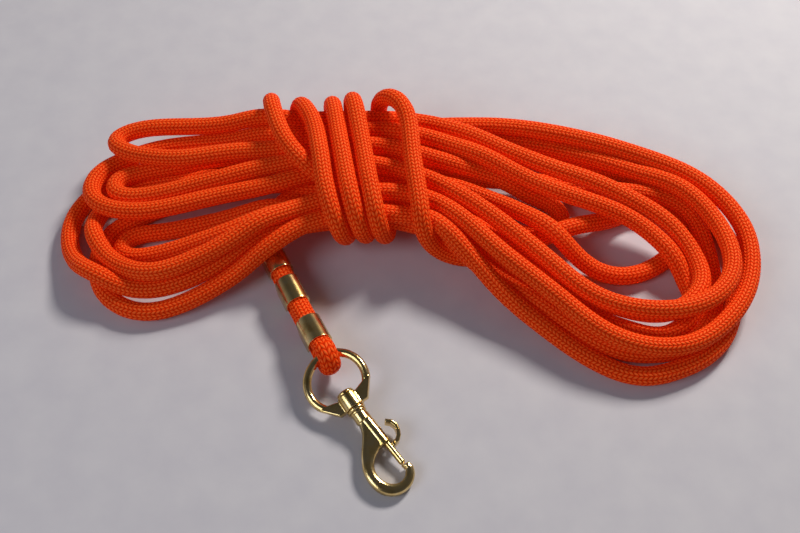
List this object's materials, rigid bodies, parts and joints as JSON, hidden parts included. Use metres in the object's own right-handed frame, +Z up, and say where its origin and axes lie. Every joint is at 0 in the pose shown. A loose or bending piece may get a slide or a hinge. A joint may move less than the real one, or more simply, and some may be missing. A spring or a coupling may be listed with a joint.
{
  "type": "training leash",
  "caption": "Long braided rope leash folded in a hank and wrapped round its waist, with a swivelling brass bolt snap held in the rope's doubled end by crimped ferrules.",
  "frame": {"origin": "on the floor, under the middle of the whole leash as it lies", "axes": "+X along the hank, +Y from the snap to the hank's back edge, +Z up"},
  "size_m": [0.3763, 0.2249, 0.0442],
  "materials": {
    "rope": "matte",
    "brass": "polished",
    "spring_steel": "satin"
  },
  "bodies": {
    "rope": {"rope_bights_left": "rope", "rope_bights_right": "rope", "rope_waist": "rope", "rope_wrap_1": "rope", "rope_wrap_2": "rope", "rope_wrap_3": "rope", "rope_wrap_4": "rope", "rope_tail": "rope", "rope_doubled_end": "rope", "ferrule_1": "brass", "ferrule_2": "brass", "ferrule_3": "brass"},
    "eye": {"swivel_eye": "brass"},
    "snap": {"swivel_pin": "brass", "swivel_washer": "brass", "snap_body": "brass", "bolt_spring": "spring_steel"},
    "bolt": {"bolt": "brass", "thumb_lever": "brass"}
  },
  "joints": [
    {"name": "eye_tilt", "type": "hinge", "parent": "rope", "child": "eye", "pos_m": [-0.0379, -0.04486, 0.01224], "axis": [-0.9096, -0.3483, -0.2268], "range_deg": [0, 110]},
    {"name": "swivel", "type": "hinge", "parent": "eye", "child": "snap", "pos_m": [-0.0323, -0.0579, 0.0098], "axis": [0.5695, -0.8134, -0.1184], "continuous": true},
    {"name": "bolt_slide", "type": "slide", "parent": "snap", "child": "bolt", "axis": [-0.6185, 0.7769, 0.1182], "range_m": [0, 0.0075], "stiffness_N_per_m": 300, "springref_m": -0.004, "deforming": ["bolt_spring"]}
  ]
}
